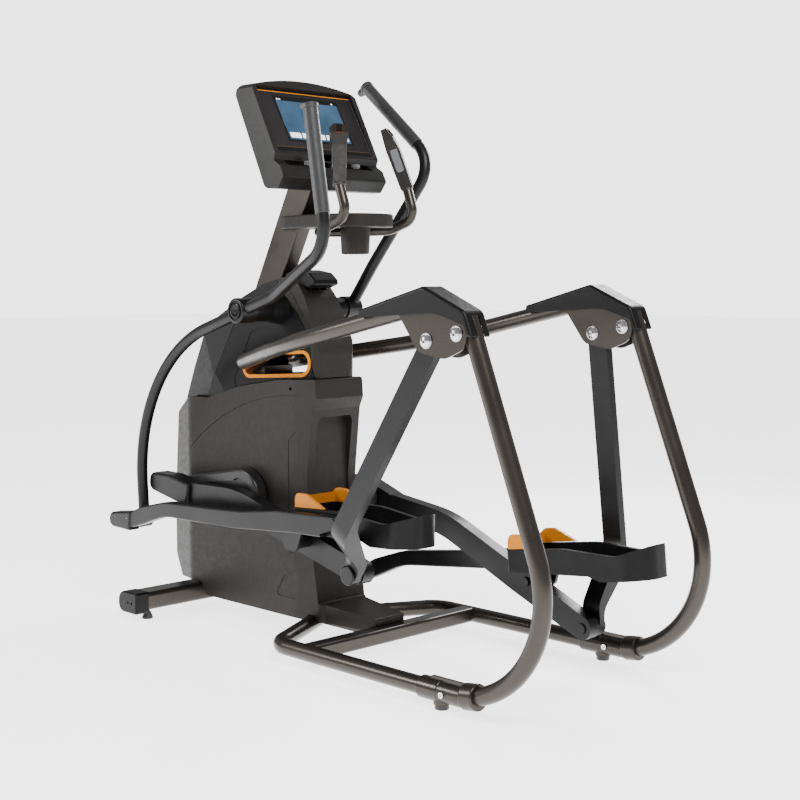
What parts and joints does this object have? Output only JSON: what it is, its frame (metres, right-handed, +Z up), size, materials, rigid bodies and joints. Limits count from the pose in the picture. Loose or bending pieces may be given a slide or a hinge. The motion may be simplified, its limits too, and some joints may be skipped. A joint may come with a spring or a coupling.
{
  "type": "elliptical trainer",
  "caption": "Suspended-pedal elliptical trainer with side rails, rear uprights, swinging handles, still grips, a console on a leaning mast and a tray with a cup.",
  "frame": {"origin": "floor point under the middle of the bounding box", "axes": "+X from the nose to the back where the user steps on, +Y to the user's right, +Z up"},
  "size_m": [2.0554, 0.8038, 1.8357],
  "materials": {
    "bronze_metal": "satin metallic bronze-grey paint",
    "black_metal": "satin black paint",
    "bronze_plastic": "fine-grained warm dark grey",
    "black_plastic": "fine-grained black",
    "orange_plastic": "semi-gloss amber",
    "rubber": "matte black rubber",
    "steel": "turned steel",
    "chrome": "plated",
    "iron": "machined and lacquered",
    "glass": "glossy dark display glass"
  },
  "bodies": {
    "frame": {"accessory_tray": "bronze_plastic", "base_tube_left": "bronze_metal", "base_tube_right": "bronze_metal", "brake_unit": "black_metal", "console_face": "black_plastic", "console_shell": "black_plastic", "cross_member": "bronze_metal", "drive_belt": "rubber", "fixed_grip_left": "black_plastic", "fixed_grip_right": "black_plastic", "fixed_handlebar": "bronze_metal", "frame_bolts": "chrome", "front_panel": "bronze_plastic", "front_stabilizer": "bronze_metal", "gusset_cover_left": "black_plastic", "gusset_cover_right": "black_plastic", "gusset_left": "bronze_metal", "gusset_right": "bronze_metal", "levelling_feet": "rubber", "lower_shell_left": "bronze_plastic", "lower_shell_right": "bronze_plastic", "main_frame": "bronze_metal", "mast": "bronze_metal", "rear_shell": "bronze_plastic", "rear_socket_left": "bronze_metal", "rear_socket_right": "bronze_metal", "rear_upright_left": "bronze_metal", "rear_upright_right": "bronze_metal", "screen": "glass", "side_rail_left": "bronze_metal", "side_rail_right": "bronze_metal", "slot_frames": "orange_plastic", "stabilizer_cap_left": "black_plastic", "stabilizer_cap_right": "black_plastic", "top_cap": "black_plastic", "upper_shell_left": "black_plastic", "upper_shell_right": "black_plastic"},
    "crank": {"crank_axle": "steel", "crank_arm_left": "bronze_metal", "crank_arm_right": "bronze_metal", "drive_pulley": "iron"},
    "flywheel": {"flywheel": "iron"},
    "wheel_left": {"transport_wheel_left": "rubber"},
    "key_left": {"grip_key_left": "orange_plastic"},
    "handle_left": {"handle_arm_left": "black_metal", "handle_grip_left": "rubber"},
    "rocker_left": {"rocker_left": "black_metal"},
    "link_left": {"lower_link_left": "black_metal"},
    "beam_left": {"pedal_beam_left": "black_metal", "pedal_left": "black_plastic", "toe_cup_left": "orange_plastic"},
    "wheel_right": {"transport_wheel_right": "rubber"},
    "key_right": {"grip_key_right": "orange_plastic"},
    "handle_right": {"handle_arm_right": "black_metal", "handle_grip_right": "rubber"},
    "rocker_right": {"rocker_right": "black_metal"},
    "link_right": {"lower_link_right": "black_metal"},
    "beam_right": {"pedal_beam_right": "black_metal", "pedal_right": "black_plastic", "toe_cup_right": "orange_plastic"}
  },
  "joints": [
    {"name": "crank_turn", "type": "hinge", "parent": "frame", "child": "crank", "pos_m": [-0.4705, 0, 0.4375], "axis": [0, 1, 0], "range_deg": [0, 180]},
    {"name": "flywheel_spin", "type": "hinge", "parent": "frame", "child": "flywheel", "pos_m": [-0.639, 0, 0.56], "axis": [0, 1, 0], "range_deg": [0, 1080]},
    {"name": "rocker_swing_left", "type": "hinge", "parent": "frame", "child": "rocker_left", "pos_m": [0.622, -0.358, 1], "axis": [0, 1, 0], "range_deg": [-39.3, 0]},
    {"name": "link_swing_left", "type": "hinge", "parent": "rocker_left", "child": "link_left", "pos_m": [0.15072, -0.19, 0.27466], "axis": [0, 1, 0], "range_deg": [0, 47.8]},
    {"name": "beam_swing_left", "type": "hinge", "parent": "link_left", "child": "beam_left", "pos_m": [-0.07509, -0.235, 0.35012], "axis": [0, 1, 0], "range_deg": [-14.17, 0]},
    {"name": "handle_swing_left", "type": "hinge", "parent": "frame", "child": "handle_left", "pos_m": [-0.353, -0.231, 1.059], "axis": [0, 1, 0], "range_deg": [-38.79, 0]},
    {"name": "wheel_spin_left", "type": "hinge", "parent": "frame", "child": "wheel_left", "pos_m": [-0.821, -0.366, 0.058], "axis": [0, 1, 0], "continuous": true},
    {"name": "rocker_swing_right", "type": "hinge", "parent": "frame", "child": "rocker_right", "pos_m": [0.622, 0.358, 1], "axis": [0, 1, 0], "range_deg": [0, 39.3]},
    {"name": "link_swing_right", "type": "hinge", "parent": "rocker_right", "child": "link_right", "pos_m": [0.71649, 0.19, 0.14018], "axis": [0, 1, 0], "range_deg": [-47.8, 0]},
    {"name": "beam_swing_right", "type": "hinge", "parent": "link_right", "child": "beam_right", "pos_m": [0.50433, 0.235, 0.24821], "axis": [0, 1, 0], "range_deg": [0, 14.17]},
    {"name": "handle_swing_right", "type": "hinge", "parent": "frame", "child": "handle_right", "pos_m": [-0.353, 0.231, 1.059], "axis": [0, 1, 0], "range_deg": [0, 38.79]},
    {"name": "wheel_spin_right", "type": "hinge", "parent": "frame", "child": "wheel_right", "pos_m": [-0.821, 0.366, 0.058], "axis": [0, 1, 0], "continuous": true},
    {"name": "key_rock_left", "type": "hinge", "parent": "frame", "child": "key_left", "pos_m": [-0.02307, -0.10518, 1.62134], "axis": [-0.0547, -0.9743, 0.2187], "range_deg": [-4, 4], "stiffness_Nm_per_rad": 0.35},
    {"name": "key_rock_right", "type": "hinge", "parent": "frame", "child": "key_right", "pos_m": [-0.02307, 0.10518, 1.62134], "axis": [-0.0547, 0.9743, 0.2187], "range_deg": [-4, 4], "stiffness_Nm_per_rad": 0.35}
  ],
  "couplings": [
    {"joint": "flywheel_spin", "follows": "crank_turn", "ratio": 6},
    {"joint": "rocker_swing_left", "follows": "crank_turn", "ratio": -0.21825},
    {"joint": "link_swing_left", "follows": "crank_turn", "ratio": 0.26551},
    {"joint": "beam_swing_left", "follows": "crank_turn", "ratio": -0.07868},
    {"joint": "handle_swing_left", "follows": "crank_turn", "ratio": -0.21543},
    {"joint": "rocker_swing_right", "follows": "crank_turn", "ratio": 0.21825},
    {"joint": "link_swing_right", "follows": "crank_turn", "ratio": -0.26551},
    {"joint": "beam_swing_right", "follows": "crank_turn", "ratio": 0.07868},
    {"joint": "handle_swing_right", "follows": "crank_turn", "ratio": 0.21543}
  ]
}
